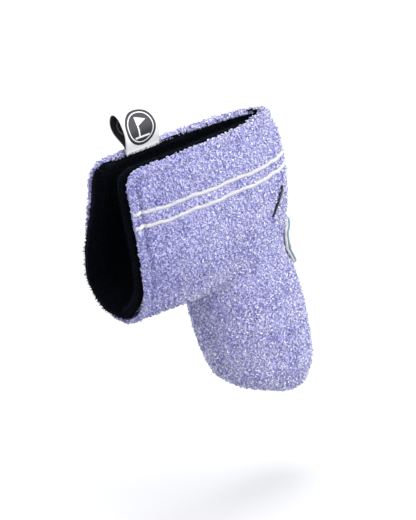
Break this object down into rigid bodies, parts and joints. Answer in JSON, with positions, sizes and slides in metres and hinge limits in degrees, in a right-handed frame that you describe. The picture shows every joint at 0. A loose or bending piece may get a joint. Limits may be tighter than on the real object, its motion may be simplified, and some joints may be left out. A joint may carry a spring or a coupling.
{
  "type": "putter head cover",
  "caption": "Soft L-shaped cover for a blade putter head: looped terry shell, foam pad, plush lining, side and top opening with magnet corners and a ribbon loop.",
  "frame": {"origin": "middle of the side opening, where the putter's neck leaves the cover", "axes": "+X from the side opening towards the sole fold, +Y from the front panel to the back panel, +Z from the toe end up to the heel end and the label loop"},
  "size_m": [0.1182, 0.0465, 0.1759],
  "materials": {
    "terry": "curly looped terry, matt, lavender",
    "foam": "open-cell foam sheet",
    "plush": "short black plush with a soft sheen",
    "white_thread": "satin stitch",
    "black_thread": "satin stitch",
    "red_thread": "satin stitch",
    "patch_felt": "felt with a stitched edge",
    "label_ribbon": "woven satin ribbon, white outside and black inside",
    "pouch_cotton": "plain cotton",
    "magnet": "nickel plate"
  },
  "bodies": {
    "pocket": {"shell_front_pocket": "terry", "pad_front_pocket": "foam", "lining_front_pocket": "plush", "stripe_upper_front_pocket": "white_thread", "stripe_lower_front_pocket": "white_thread", "shell_back_pocket": "terry", "pad_back_pocket": "foam", "lining_back_pocket": "plush", "stripe_upper_back_pocket": "white_thread", "stripe_lower_back_pocket": "white_thread", "dash_front": "black_thread", "ball_patch": "patch_felt", "ball_line": "red_thread", "tee_patch": "red_thread"},
    "front_corner": {"shell_front_corner": "terry", "pad_front_corner": "foam", "lining_front_corner": "plush", "stripe_upper_front_corner": "white_thread", "stripe_lower_front_corner": "white_thread", "magnet_front_mouth": "magnet", "magnet_pouch_front_mouth": "pouch_cotton", "magnet_front_top": "magnet", "magnet_pouch_front_top": "pouch_cotton"},
    "back_corner": {"shell_back_corner": "terry", "pad_back_corner": "foam", "lining_back_corner": "plush", "stripe_upper_back_corner": "white_thread", "stripe_lower_back_corner": "white_thread", "magnet_back_mouth": "magnet", "magnet_pouch_back_mouth": "pouch_cotton", "magnet_back_top": "magnet", "magnet_pouch_back_top": "pouch_cotton", "label_anchor": "label_ribbon"},
    "label": {"label_loop": "label_ribbon"}
  },
  "joints": [
    {"name": "front_corner_fold", "type": "hinge", "parent": "pocket", "child": "front_corner", "pos_m": [0.0425, -0.012, 0.014], "axis": [0.8229, 0.0871, 0.5615], "range_deg": [-8, 25], "stiffness_Nm_per_rad": 0.12},
    {"name": "back_corner_fold", "type": "hinge", "parent": "pocket", "child": "back_corner", "pos_m": [0.0425, 0.01425, 0.014], "axis": [-0.8225, 0.0919, -0.5613], "range_deg": [-8, 25], "stiffness_Nm_per_rad": 0.12},
    {"name": "label_bend", "type": "hinge", "parent": "back_corner", "child": "label", "pos_m": [0.0355, 0.011, 0.0436], "axis": [1, 0, 0], "range_deg": [-25, 45], "stiffness_Nm_per_rad": 0.003}
  ]
}
